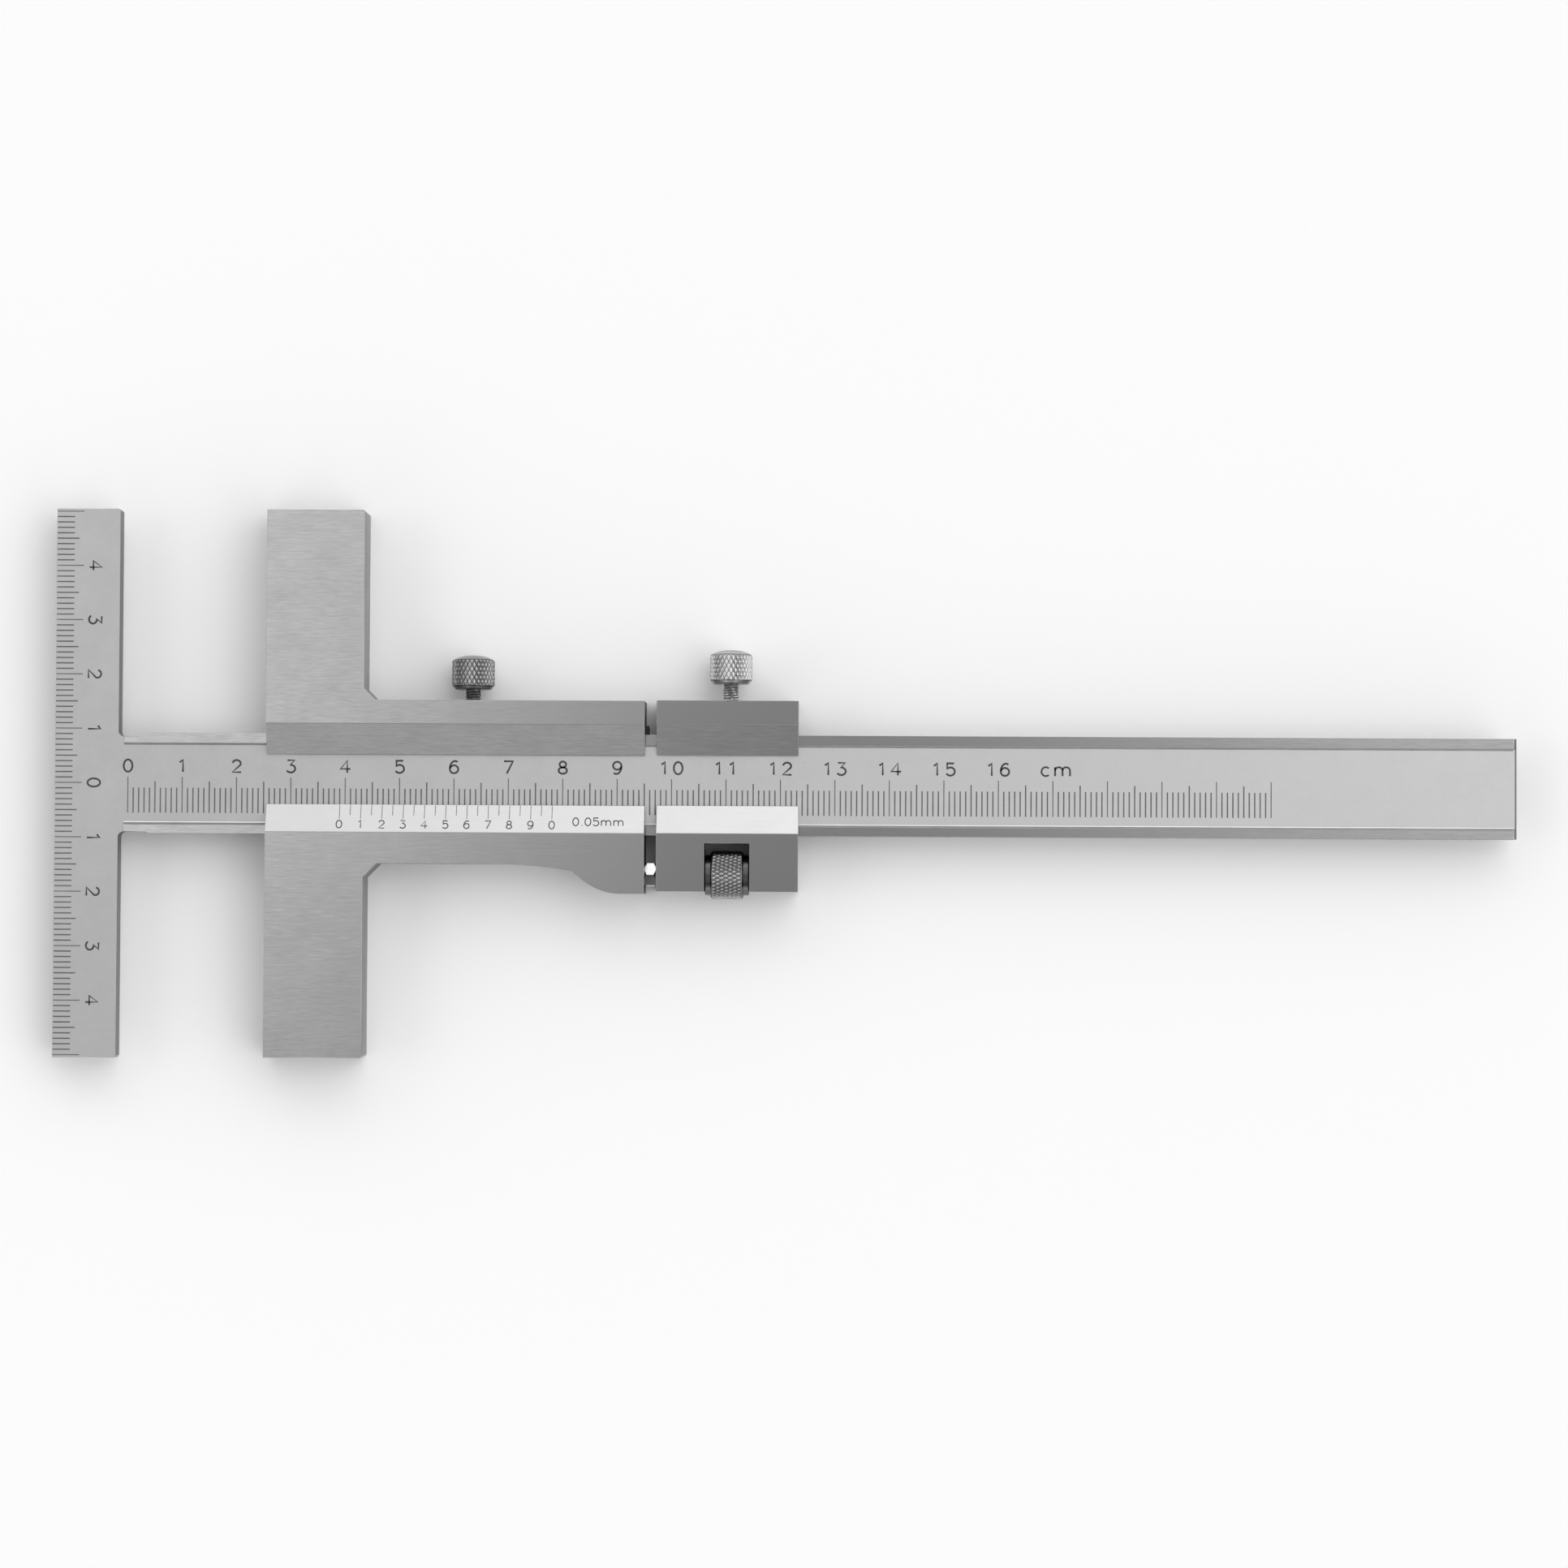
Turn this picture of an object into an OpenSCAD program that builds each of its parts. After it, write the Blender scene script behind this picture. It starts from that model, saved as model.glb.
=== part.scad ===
// Marking caliper: a beam with a T-shaped marking crossbar, a slider with two stop jaws, and a
// fine-adjustment block that a knurled nut moves. X runs along the beam, Y across it, and Z up
// from the flat back. The origin is on the marking edge, at the middle of the beam's width and
// thickness.

/* [Beam] */
// Length from the marking edge to the free end
beam_len = 268.5; // [230:0.5:400]
// Width over the guide lands
beam_w = 18.5; // [17:0.1:20]
// Thickness through the guide lands
beam_t = 4; // [3:0.1:4.5]
// Width of each raised guide land
land_w = 2; // [1:0.1:3]
// Height of the guide lands above the scale face
land_step = 0.15; // [0.05:0.05:0.4]
// Length of the shallow bevel across the free end
end_bevel = 0.6; // [0.2:0.1:1.5]
// Depth of that bevel
end_drop = 0.35; // [0.1:0.05:0.6]

/* [Crossbar] */
// Length of the crossbar, across the beam
cross_len = 101; // [80:1:140]
// Width of the crossbar, along the beam
cross_w = 11.7; // [10:0.1:13]
// Chamfer on the two corners away from the marking edge
cross_corner = 0.3; // [0.2:0.1:1.5]
// Fillet radius where the beam joins the crossbar
root_r = 1; // [0.5:0.1:1.5]
// Length of the ground relief in the beam's edges, beside the crossbar
relief_len = 5.2; // [3:0.1:8]
// Depth of the relief in the upper edge
relief_upper = 0.73; // [0.2:0.01:1]
// Depth of the relief in the lower edge
relief_lower = 0.27; // [0.1:0.01:1]
// Radius of the grinding wheel's corner, which rounds the end of the relief
relief_r = 1.6; // [1:0.1:3]

/* [Slider] */
// Setting of the tool: distance from the marking edge to the stop face of the jaws
setting = 39.1; // [15:0.1:160]
// Length of the slider along the beam
slider_len = 69.5; // [60:0.5:90]
// Thickness of the slider and of the fine-adjustment block
slider_t = 9; // [9:0.1:12]
// Width of each stop jaw, along the beam
jaw_w = 18; // [12:0.5:24]
// How far each stop jaw ends short of the crossbar's end
jaw_short = 0.25; // [0:0.05:5]
// Chamfer on the outer corners of the jaws
jaw_corner = 0.3; // [0.2:0.1:2]
// Chamfer in the corner between the upper jaw and the slider
upper_root = 2.1; // [1:0.1:3]
// Chamfer in the corner between the lower jaw and the slider
lower_root = 2.5; // [1:0.1:3]
// Wall above the gib strip
slider_top_wall = 4.4; // [3.6:0.1:6]
// Wall below the beam
slider_low_wall = 5.35; // [4:0.05:6]

/* [Thumb rest] */
// Depth of the thumb rest below the slider's lower edge
thumb_drop = 5.35; // [5:0.05:8]
// Length of the flat at the end of the thumb rest
thumb_flat = 4.3; // [3:0.1:8]
// Radius that rounds the thumb rest
thumb_r = 11; // [8:0.5:14]
// Slope of the ramp that leads to the thumb rest, in degrees
thumb_slope = 39; // [30:1:50]
// Length of the sweep that leads to the ramp, measured from the slider's end
sweep_len = 27.4; // [20:0.1:34]
// Radius of the sweep
sweep_r = 78; // [60:1:120]

/* [Windows] */
// How far the slider's upper lip covers the beam
slider_upper_lip = 3.85; // [3:0.05:5]
// How far the vernier lip covers the beam
vernier_lip = 5.45; // [4.5:0.05:6.5]
// How far the block's upper lip covers the beam
block_upper_lip = 3.75; // [3:0.05:5]
// How far the block's lower lip covers the beam
block_lower_lip = 5.5; // [4.5:0.05:6.5]
// Thickness of the lips at their edge
lip_edge = 0.35; // [0.2:0.05:0.8]
// Run of the bevel on the upper lips
upper_bevel = 5.6; // [4:0.1:7]
// Run of the bevel on the lower lips, which carries the vernier
lower_bevel = 5.1; // [4:0.1:6]

/* [Gib strips] */
// Thickness of the strips between the beam and the slider
gib_t = 1.6; // [1:0.1:2]
// How much narrower a strip is than the beam is thick
gib_narrower = 0.4; // [0.2:0.1:1]
// How far the slider's strip stands out of the slider's end
gib_nub = 0.7; // [0.3:0.1:1.5]
// How far the strips stop short of the other ends
gib_inset = 0.9; // [0.8:0.1:2]
// Diameter of the two set screws that press on the slider's strip
set_screw_d = 2.5; // [2:0.1:3]
// Length of the set screws
set_screw_len = 3; // [2:0.1:3.5]
// Place of the left set screw, from the stop face
left_set_screw_at = 25.5; // [23:0.5:28]
// Place of the right set screw, from the slider's right end
right_set_screw_in = 9.5; // [4:0.5:14]

/* [Lock screws] */
// Diameter of the knurled heads
head_d = 7.9; // [6:0.1:9]
// Height of the knurled heads
head_h = 6.3; // [4:0.05:9]
// Radius lost to the slope round a head's top
head_top_in = 0.9; // [0.3:0.1:1.5]
// Height of the slope round a head's top
head_top_drop = 1.2; // [0.4:0.1:2]
// Radius lost to the slope under a head
head_low_in = 0.6; // [0.2:0.1:1.2]
// Height of the slope under a head
head_low_drop = 0.9; // [0.3:0.1:1.5]
// Diameter of the threaded shanks
shank_d = 2.9; // [2.5:0.1:4]
// Diameter of the point that sits in the strip
point_d = 2; // [1.5:0.1:2.4]
// Length of the point
point_len = 0.6; // [0.3:0.1:0.9]
// Place of the slider's lock screw, from the stop face
slider_screw_at = 37.7; // [34:0.05:46]
// Place of the block's lock screw, from the block's left end
block_screw_at = 13.5; // [8:0.1:20]
// Gap under the head of the slider's lock screw
slider_screw_lift = 2.1; // [0.5:0.1:4]
// Gap under the head of the block's lock screw
block_screw_lift = 3.2; // [0.5:0.1:4]

/* [Fine-adjustment block] */
// Gap between the slider and the block
block_gap = 2.2; // [2.1:0.1:6]
// Wall above the block's gib strip
block_top_wall = 4.5; // [3.6:0.1:6]
// How far the block reaches below the beam's lower edge
block_drop = 10.25; // [9.8:0.05:12]
// Place of the nut's window, from the block's left end
window_at = 8.8; // [8:0.1:9.5]
// Length of the nut's window along the beam
window_len = 8.3; // [7:0.1:9]
// Length of the block past the nut's window
block_tail = 8.9; // [8.5:0.1:16]
// Web between the nut's window and the beam
window_web = 1.35; // [0.8:0.05:2]

/* [Spindle and nut] */
// Depth of the spindle's axis below the beam's lower edge
spindle_drop = 7.2; // [7:0.05:7.6]
// Diameter of the spindle's plain part
spindle_d = 4.9; // [4.4:0.1:5.2]
// Diameter of the spindle's thread
thread_d = 3.9; // [3:0.1:4.2]
// Length of the spindle inside the slider
spindle_seat = 7; // [5:0.1:7.2]
// Length of the plain part inside the block
spindle_in_block = 4.8; // [3:0.1:5.5]
// How far the thread stands past the nut's window
thread_past = 5.3; // [4.8:0.1:5.5]
// Room past the thread's end in its blind hole
hole_room = 2.7; // [2.4:0.1:3]
// Diameter of the cross pin that holds the spindle
pin_d = 1.5; // [1:0.1:2]
// Diameter of the nut over its knurl
nut_d = 8.9; // [7:0.1:9]
// Diameter of the nut's two collars
collar_d = 7.4; // [6:0.1:8]
// Length of each collar
collar_len = 1.05; // [0.4:0.05:1.5]
// Chamfer at the ends of the nut's knurl
nut_chamfer = 0.4; // [0.1:0.1:0.8]

/* [Fits] */
// Clearance between the beam and what slides on it
slide_fit = 0.05; // [0.02:0.01:0.1]
// Radial clearance of screws, nut and spindle in their bores
bore_fit = 0.05; // [0.02:0.01:0.1]
// Radial clearance of the pieces that are held fast in the slider
seat_fit = 0.01; // [0.005:0.005:0.02]
// Play of a gib strip in its groove
gib_play = 0.1; // [0.05:0.05:0.2]
// Play of the nut in its window, at each end
nut_play = 0.1; // [0.05:0.05:0.2]

/* [Hidden] */
$fn = 96;
// Facets of the slider's long sweep
sweep_fn = 360;
// Overrun of every cut past the surface that it opens
over = 1;
half_w = beam_w / 2;
half_t = beam_t / 2;
face_z = half_t - land_step;
// Where the guide lands begin, clear of the root fillets
land_x = cross_w + root_r;
// The groove that the beam and the gib strip share
groove_low = half_w + slide_fit;
groove_top = groove_low + gib_t + gib_play;
groove_z = half_t + slide_fit;
gib_y = half_w + slide_fit;
gib_top = gib_y + gib_t;
// The slider's edges
slider_x = setting;
slider_end = slider_x + slider_len;
slider_top = groove_top + slider_top_wall;
slider_low = groove_low + slider_low_wall;
slider_z = slider_t / 2;
jaw_reach = cross_len / 2 - jaw_short;
thumb_low = slider_low + thumb_drop;
// The block's edges
block_x = slider_end + block_gap;
block_len = window_at + window_len + block_tail;
block_top = groove_top + block_top_wall;
block_low = half_w + block_drop;
window_x = block_x + window_at;
window_top = groove_low + window_web;
// The spindle's axis and steps
spindle_y = half_w + spindle_drop;
plain_end = block_x + spindle_in_block;
thread_end = window_x + window_len + thread_past;
spindle_chamfer = thread_d / 10;
// The cross pin goes through the middle of the seat, from the back
pin_x = slider_end - spindle_seat / 2;
pin_top = spindle_d / 2;
pin_sunk = pin_d / 8;
// Places of the set screws and of the lock screws along the beam
set_screw_x = [slider_x + left_set_screw_at, slider_end - right_set_screw_in];
slider_screw_x = slider_x + slider_screw_at;
block_screw_x = block_x + block_screw_at;
// Clearance between a screw's point and the strip
point_gap = bore_fit / 2;
dimple_d = point_d + 4 * bore_fit;
dimple_depth = point_len + point_gap;
// Screwdriver slot in the set screws
slot_w = set_screw_d / 6;
slot_depth = set_screw_d / 3;
steel = [0.72, 0.72, 0.72];
dark_steel = [0.45, 0.45, 0.46];
blued_steel = [0.15, 0.15, 0.17];

// Puts its children, drawn in the YZ plane, along X from start for a length
module along_x(start, length) {
    translate([start, 0, 0]) rotate([90, 0, 90]) linear_extrude(length) children();
}

// A round bar along X, centred on the spindle's axis
module spindle_bar(start, length, d) {
    translate([start, -spindle_y, 0]) rotate([0, 90, 0]) cylinder(h = length, d = d);
}

// A round bar along Y, upwards from a height
module bar_up(x, from_y, length, d) {
    translate([x, from_y, 0]) rotate([-90, 0, 0]) cylinder(h = length, d = d);
}

// The groove for the beam and its gib strip, with the front window and its two bevels
module guide_cut(start, length, upper_lip, lower_lip) {
    lip_y = half_w - upper_lip;
    lip_low = lower_lip - half_w;
    lip_z = groove_z + lip_edge;
    along_x(start - over, length + 2 * over) {
        translate([-groove_low, -groove_z]) square([groove_low + groove_top, 2 * groove_z]);
        polygon([
            [lip_low, 0], [lip_y, 0], [lip_y, lip_z], [lip_y + upper_bevel, slider_z],
            [lip_y + upper_bevel, slider_z + over], [lip_low - lower_bevel, slider_z + over],
            [lip_low - lower_bevel, slider_z], [lip_low, lip_z]
        ]);
    }
}

// Plan of the slider and its two stop jaws, without the thumb rest
module slider_outline() {
    polygon([
        [0, -jaw_reach], [jaw_w - jaw_corner, -jaw_reach], [jaw_w, jaw_corner - jaw_reach],
        [jaw_w, -slider_low - lower_root], [jaw_w + lower_root, -slider_low], [slider_len, -slider_low],
        [slider_len, slider_top], [jaw_w + upper_root, slider_top], [jaw_w, slider_top + upper_root],
        [jaw_w, jaw_reach - jaw_corner], [jaw_w - jaw_corner, jaw_reach], [0, jaw_reach]
    ]);
}

// The rounded rest for the thumb, with the ramp and the sweep that lead to it
module thumb_outline() {
    flat_x = slider_len - thumb_flat;
    touch_x = flat_x - thumb_r * sin(thumb_slope);
    touch_y = -thumb_low + thumb_r * (1 - cos(thumb_slope));
    ramp_x = touch_x - (-slider_low - touch_y) / tan(thumb_slope);
    translate([slider_len - sweep_len, 0]) difference() {
        translate([0, -thumb_low]) square([sweep_len, thumb_low]);
        translate([0, -slider_low - sweep_r]) circle(sweep_r, $fn = sweep_fn);
    }
    polygon([[ramp_x, -slider_low], [touch_x, touch_y], [touch_x, 0], [ramp_x, 0]]);
    intersection() {
        translate([touch_x, -thumb_low]) square([slider_len - touch_x, thumb_low]);
        translate([flat_x, thumb_r - thumb_low]) circle(thumb_r);
    }
    translate([flat_x, -thumb_low]) square([thumb_flat, thumb_low]);
}

// Plan of the crossbar, chamfered on the corners away from the marking edge
module crossbar_outline() {
    reach = cross_len / 2;
    polygon([
        [0, -reach], [cross_w - cross_corner, -reach], [cross_w, cross_corner - reach],
        [cross_w, reach - cross_corner], [cross_w - cross_corner, reach], [0, reach]
    ]);
}

// Plan of the relief beside the crossbar, for the beam's upper edge, which it rejoins in an arc
module relief_outline(depth) {
    arc_len = sqrt(pow(relief_r, 2) - pow(relief_r - depth, 2));
    run_out = cross_w + relief_len + arc_len;
    difference() {
        translate([cross_w, half_w - depth]) square([relief_len + arc_len, depth + over]);
        translate([run_out, half_w - relief_r]) circle(relief_r);
    }
}

// Plan of the fillet between the crossbar and the beam's upper edge
module root_outline(depth) {
    translate([cross_w, half_w - depth]) difference() {
        square(root_r);
        translate([root_r, root_r]) circle(root_r);
    }
}

// Beam and crossbar in one piece
module beam_rule() {
    color(steel) difference() {
        union() {
            translate([0, 0, -half_t]) linear_extrude(half_t + face_z) {
                crossbar_outline();
                root_outline(relief_upper);
                mirror([0, 1]) root_outline(relief_lower);
                difference() {
                    translate([0, -half_w]) square([beam_len, beam_w]);
                    relief_outline(relief_upper);
                    mirror([0, 1]) relief_outline(relief_lower);
                }
            }
            linear_extrude(half_t) difference() {
                translate([land_x, -half_w]) square([beam_len - land_x, beam_w]);
                translate([land_x - over, land_w - half_w]) square([beam_len, beam_w - 2 * land_w]);
                relief_outline(relief_upper);
                mirror([0, 1]) relief_outline(relief_lower);
            }
        }
        translate([0, half_w + over, 0]) rotate([90, 0, 0]) linear_extrude(beam_w + 2 * over)
            polygon([
                [beam_len - end_bevel, half_t], [beam_len, half_t - end_drop],
                [beam_len + over, half_t - end_drop], [beam_len + over, half_t + over],
                [beam_len - end_bevel, half_t + over]
            ]);
    }
}

// Sliding frame with the two stop jaws
module slider() {
    color(steel) difference() {
        translate([slider_x, 0, -slider_z]) linear_extrude(slider_t) {
            slider_outline();
            thumb_outline();
        }
        guide_cut(slider_x, slider_len, slider_upper_lip, vernier_lip);
        bar_up(slider_screw_x, half_w, slider_top - half_w + over, shank_d + 2 * bore_fit);
        for (x = set_screw_x) bar_up(x, half_w, slider_top - half_w + over, set_screw_d + 2 * bore_fit);
        spindle_bar(slider_end - spindle_seat, spindle_seat + over, spindle_d + 2 * seat_fit);
        translate([pin_x, -spindle_y, -slider_z - over])
            cylinder(h = slider_z + over + pin_top, d = pin_d + 2 * seat_fit);
    }
}

// A gib strip between the beam's upper edge and the roof of the groove, with a dimple for the screw's point
module gib_strip(start, length, screw_x) {
    width = beam_t - gib_narrower;
    difference() {
        translate([start, gib_y, -width / 2]) cube([length, gib_t, width]);
        bar_up(screw_x, gib_top - dimple_depth, dimple_depth + over, dimple_d);
    }
}

// Strip in the slider, which stands a little out of its right end
module slider_gib() {
    color(blued_steel)
        gib_strip(slider_x + gib_inset, slider_len - gib_inset + gib_nub, slider_screw_x);
}

// The two slotted set screws that press on the slider's strip
module gib_set_screws() {
    color(dark_steel) for (x = set_screw_x) difference() {
        bar_up(x, gib_top, set_screw_len, set_screw_d);
        translate([x - set_screw_d, gib_top + set_screw_len - slot_depth, -slot_w / 2])
            cube([2 * set_screw_d, slot_depth + over, slot_w]);
    }
}

// A knurled lock screw: point, shank and head, turned about the Y axis
module lock_screw(x, under) {
    tip = gib_top - point_len;
    head_r = head_d / 2;
    low = under - tip;
    top = low + head_h;
    translate([x, tip, 0]) rotate([-90, 0, 0]) rotate_extrude() polygon([
        [0, 0], [point_d / 2, 0], [point_d / 2, point_len + point_gap], [shank_d / 2, point_len + point_gap],
        [shank_d / 2, low], [head_r - head_low_in, low], [head_r, low + head_low_drop],
        [head_r, top - head_top_drop], [head_r - head_top_in, top], [0, top]
    ]);
}

// Clamp screw of the slider
module slider_lock_screw() {
    color(dark_steel) lock_screw(slider_screw_x, slider_top + slider_screw_lift);
}

// Fine-adjustment block with the window for the nut
module fine_block() {
    color(steel) difference() {
        translate([block_x, -block_low, -slider_z]) cube([block_len, block_low + block_top, slider_t]);
        guide_cut(block_x, block_len, block_upper_lip, block_lower_lip);
        translate([window_x, -block_low - over, -slider_z - over])
            cube([window_len, block_low + over - window_top, slider_t + 2 * over]);
        bar_up(block_screw_x, half_w, block_top - half_w + over, shank_d + 2 * bore_fit);
        spindle_bar(block_x - over, window_at + 2 * over, spindle_d + 2 * bore_fit);
        spindle_bar(window_x + window_len - over, thread_past + hole_room + over, thread_d + 2 * bore_fit);
    }
}

// Strip in the block
module block_gib() {
    color(blued_steel) gib_strip(block_x + gib_inset, block_len - 2 * gib_inset, block_screw_x);
}

// Clamp screw of the block
module block_lock_screw() {
    color(steel) lock_screw(block_screw_x, block_top + block_screw_lift);
}

// Spindle that joins the slider to the block: a plain part and a thinner thread
module fine_spindle() {
    seat_x = slider_end - spindle_seat;
    plain = plain_end - seat_x;
    length = thread_end - seat_x;
    color(steel) difference() {
        translate([seat_x, -spindle_y, 0]) rotate([0, 90, 0]) rotate_extrude() polygon([
            [0, 0], [spindle_d / 2, 0], [spindle_d / 2, plain], [thread_d / 2, plain],
            [thread_d / 2, length - spindle_chamfer], [thread_d / 2 - spindle_chamfer, length],
            [0, length]
        ]);
        translate([pin_x, -spindle_y, -spindle_d])
            cylinder(h = 2 * spindle_d, d = pin_d + 2 * seat_fit);
    }
}

// Cross pin that holds the spindle in the slider, driven in from the back
module spindle_pin() {
    color(dark_steel) translate([pin_x, -spindle_y, pin_sunk - slider_z])
        cylinder(h = slider_z - pin_sunk + pin_top, d = pin_d);
}

// Nut in the block's window: a knurled barrel between two collars
module knurled_nut() {
    length = window_len - 2 * nut_play;
    nut_r = nut_d / 2;
    collar_r = collar_d / 2;
    bore_r = thread_d / 2 + bore_fit;
    color(dark_steel) translate([window_x + nut_play, -spindle_y, 0]) rotate([0, 90, 0])
        rotate_extrude() polygon([
            [bore_r, 0], [collar_r, 0], [collar_r, collar_len], [nut_r - nut_chamfer, collar_len],
            [nut_r, collar_len + nut_chamfer], [nut_r, length - collar_len - nut_chamfer],
            [nut_r - nut_chamfer, length - collar_len], [collar_r, length - collar_len],
            [collar_r, length], [bore_r, length]
        ]);
}

beam_rule();
slider();
slider_gib();
gib_set_screws();
slider_lock_screw();
fine_block();
block_gib();
block_lock_screw();
fine_spindle();
spindle_pin();
knurled_nut();
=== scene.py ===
# %% [markdown]
# # A marking caliper in ground steel
# The tool is a graduated beam with a crossbar across its left end. A slider with two stop jaws runs
# on the beam, and a small block beside it gives the fine adjustment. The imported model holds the
# exact shapes. Each cell below adds what a camera sees on top of them: rounded edges, grinding
# grain, graduations, knurls and threads.

import math

import bmesh
import bpy
import numpy as np
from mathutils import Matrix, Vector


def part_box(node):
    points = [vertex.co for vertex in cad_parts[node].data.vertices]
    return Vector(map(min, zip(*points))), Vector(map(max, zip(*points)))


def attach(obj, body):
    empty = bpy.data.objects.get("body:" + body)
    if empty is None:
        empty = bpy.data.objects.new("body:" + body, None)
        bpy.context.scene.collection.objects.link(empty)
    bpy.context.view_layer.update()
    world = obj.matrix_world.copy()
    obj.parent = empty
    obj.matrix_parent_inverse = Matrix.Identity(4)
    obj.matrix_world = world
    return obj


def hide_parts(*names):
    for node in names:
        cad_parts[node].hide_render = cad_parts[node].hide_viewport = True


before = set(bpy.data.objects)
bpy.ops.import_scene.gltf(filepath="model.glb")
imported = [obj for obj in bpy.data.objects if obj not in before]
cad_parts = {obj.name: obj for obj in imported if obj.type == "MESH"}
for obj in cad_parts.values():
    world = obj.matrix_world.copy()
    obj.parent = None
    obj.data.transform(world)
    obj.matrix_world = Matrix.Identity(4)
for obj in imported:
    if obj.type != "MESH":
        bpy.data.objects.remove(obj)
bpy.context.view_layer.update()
MM = 0.001
print("nodes:", ", ".join(sorted(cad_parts)))

# %% [markdown]
# ## The camera
# The photograph looks almost straight down on the tool. The place of the camera was worked out
# outside this script from the graduations and a few edges: every tenth line is a known point of the
# object, so the camera that puts all of them where the photograph has them is the right one. It
# needs no lens shift.

# %% Camera
# The lens and the sensor in mm, the camera's place in mm, and its tilt about X, Y and Z in degrees.
LENS_LONG, SENSOR_WIDE = 89.3, 36
CAMERA_PLACE = (140.34, -19.46, 715.73)
CAMERA_TILT = (1.5904, 0.4887, 0.2888)
camera_data = bpy.data.cameras.new("photo_camera")
camera_data.sensor_width = SENSOR_WIDE
camera_data.lens = LENS_LONG
camera_data.clip_start = 0.01
camera_data.clip_end = 50
camera = bpy.data.objects.new("photo_camera", camera_data)
camera.location = [place * MM for place in CAMERA_PLACE]
camera.rotation_euler = [math.radians(angle) for angle in CAMERA_TILT]
bpy.context.scene.collection.objects.link(camera)
bpy.context.scene.camera = camera
bpy.context.scene.view_settings.view_transform = "Standard"
print("camera height in mm:", round(camera.location.z / MM, 1))

# %% [markdown]
# ## The light
# Bare steel shows its surroundings, so the surroundings are the light. A photographer puts white
# panels and dark cards round a piece of steel until its faces read well, and the same is done here
# in the world: a white wall behind, a window on the right, and shade above, where the camera is.
# A panel is a direction and a size. Its light falls off smoothly with the angle from that
# direction, which a dot product and a smooth step give. A card takes light away instead.
# The last two panels were set one by one. The numbers of the other nine come from a search made
# outside this script, which compared the tones of the tool's flat faces with the photograph's.

# %% Node group: soft panel


def group_of(name, inputs, outputs):
    """A new shader node group with its input and output nodes. Inputs and outputs are given as
    (name, socket type, default value)."""
    group = bpy.data.node_groups.new(name, "ShaderNodeTree")
    for in_out, sockets in (("INPUT", inputs), ("OUTPUT", outputs)):
        for label, kind, value in sockets:
            socket = group.interface.new_socket(
                label, in_out=in_out, socket_type="NodeSocket" + kind)
            if value is not None:
                socket.default_value = value
    return group, group.nodes.new("NodeGroupInput"), group.nodes.new("NodeGroupOutput")


def calculate(tree, operation, *values, clamp=False):
    """A Math node whose inputs are numbers or sockets. It returns the result's socket."""
    node = tree.nodes.new("ShaderNodeMath")
    node.operation = operation
    node.use_clamp = clamp
    for socket, value in zip(node.inputs, values):
        if isinstance(value, bpy.types.NodeSocket):
            tree.links.new(value, socket)
        else:
            socket.default_value = value
    return node.outputs[0]


def make_panel_group():
    """Light from one direction: the cosine of the angle between the ray and the panel's direction
    goes through a smooth step, from nothing at the edge to the full brightness inside."""
    group, given, result = group_of(
        "soft_panel",
        [("Direction", "Vector", (0, 0, 1)), ("Edge", "Float", 0.5), ("Inside", "Float", 0.9),
         ("Brightness", "Float", 1)],
        [("Light", "Float", None)],
    )
    ray = group.nodes.new("ShaderNodeTexCoord")
    toward = group.nodes.new("ShaderNodeVectorMath")
    toward.operation = "DOT_PRODUCT"
    group.links.new(ray.outputs["Generated"], toward.inputs[0])
    group.links.new(given.outputs["Direction"], toward.inputs[1])
    step = group.nodes.new("ShaderNodeMapRange")
    step.interpolation_type = "SMOOTHSTEP"
    group.links.new(toward.outputs["Value"], step.inputs["Value"])
    group.links.new(given.outputs["Edge"], step.inputs["From Min"])
    group.links.new(given.outputs["Inside"], step.inputs["From Max"])
    light = calculate(group, "MULTIPLY", step.outputs["Result"], given.outputs["Brightness"])
    group.links.new(light, result.inputs["Light"])
    return group


panel_group = make_panel_group()
print("made the node group", panel_group.name)

# %% The room
ROOM_LIGHT = 1.22
HORIZON_LIGHT = 1.8
HORIZON_FROM, HORIZON_TO = 0.42, 0.15
LEAST_LIGHT, MOST_LIGHT = 0.02, 1.65
# Each panel: tilt to the right and tilt to the back in degrees, where straight up is (0, 0). Then
# the sizes within which it is full and outside which it is gone, in degrees from its middle, and
# its brightness.
PANELS = {
    "white_wall_behind": ((2.8, 57.4), 44.7, 49.7, 0.66),
    "window_on_the_right": ((56.6, 20.1), 37.3, 57.9, 0.95),
    "lamp_near_the_top": ((-12.8, 4.4), 6.0, 11.0, 0.80),
    "shade_around_the_camera": ((-2.6, -3.7), 41.7, 59.9, -0.58),
    "dark_card_above": ((10.4, 0.4), 13.3, 18.3, -0.41),
    "dark_card_behind": ((-18.5, 33.8), 15.8, 20.8, -0.70),
    "dark_card_on_the_right": ((25.0, 2.4), 9.2, 14.2, -0.70),
    "dark_card_in_front": ((23.1, -45.9), 14.6, 19.6, -0.57),
    "dark_wall_on_the_left": ((-48.3, 2.2), 13.9, 57.6, -0.57),
    "white_strip_low_on_the_left": ((-64.0, 6.0), 12.0, 24.0, 1.50),
    "dark_card_low_in_front": ((0.0, -62.0), 13.0, 19.0, -1.12),
}


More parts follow.
